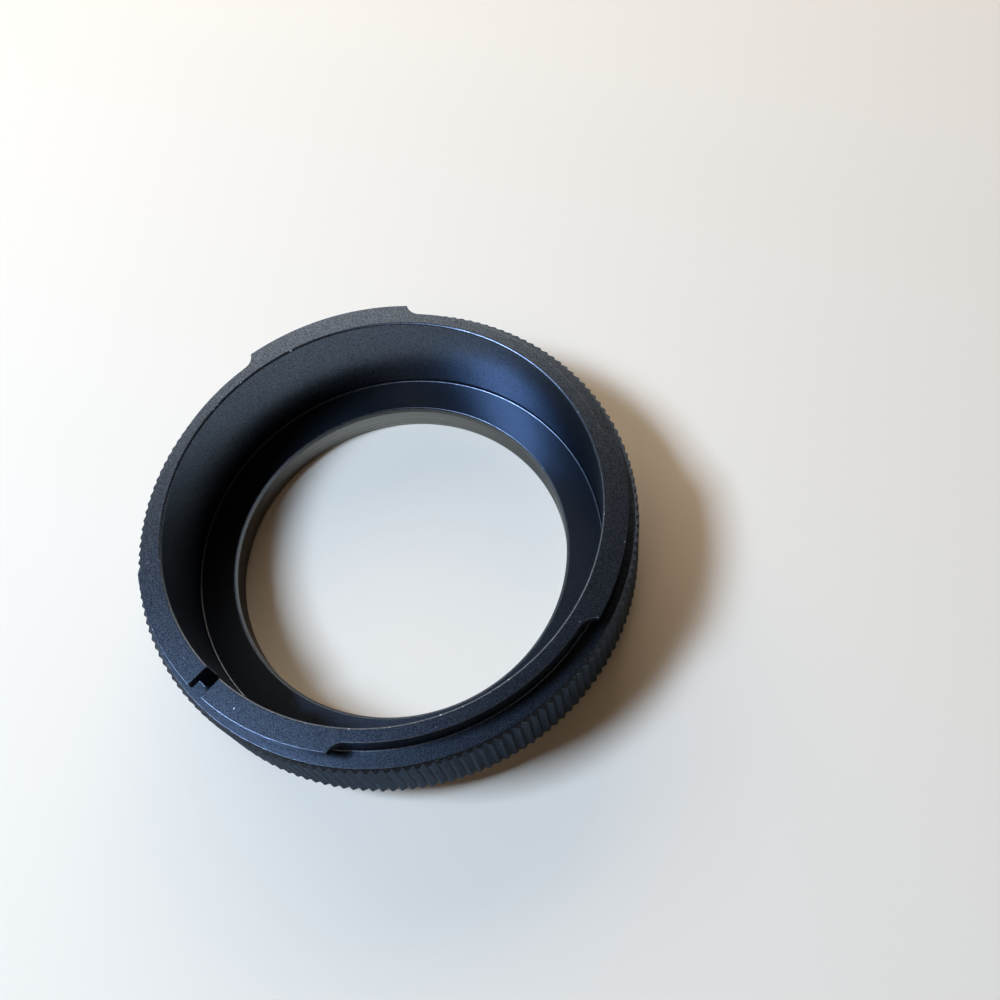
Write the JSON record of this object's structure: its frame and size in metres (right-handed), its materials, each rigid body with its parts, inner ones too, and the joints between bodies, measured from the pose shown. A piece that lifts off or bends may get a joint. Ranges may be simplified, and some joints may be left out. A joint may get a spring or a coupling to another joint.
{
  "type": "lens mount adapter",
  "caption": "Camera lens mount adapter ring: bayonet rim with lock slot, flange seat, knurled grip band, deep tube with an inner ledge and plain bore, and a threaded lens-side spigot.",
  "frame": {"origin": "centre of the ring on its lens-side face, which it stands on", "axes": "+Z along the optical axis from the lens side to the camera bayonet; the lock slot lies at 216.6 degrees from +X, counter-clockwise seen from the camera side"},
  "size_m": [0.0562, 0.0562, 0.0158],
  "materials": {
    "black_anodised_aluminium": "bead-blasted and black anodised, semi-matt"
  },
  "bodies": {
    "root": {"adapter_ring": "black_anodised_aluminium"}
  },
  "joints": []
}
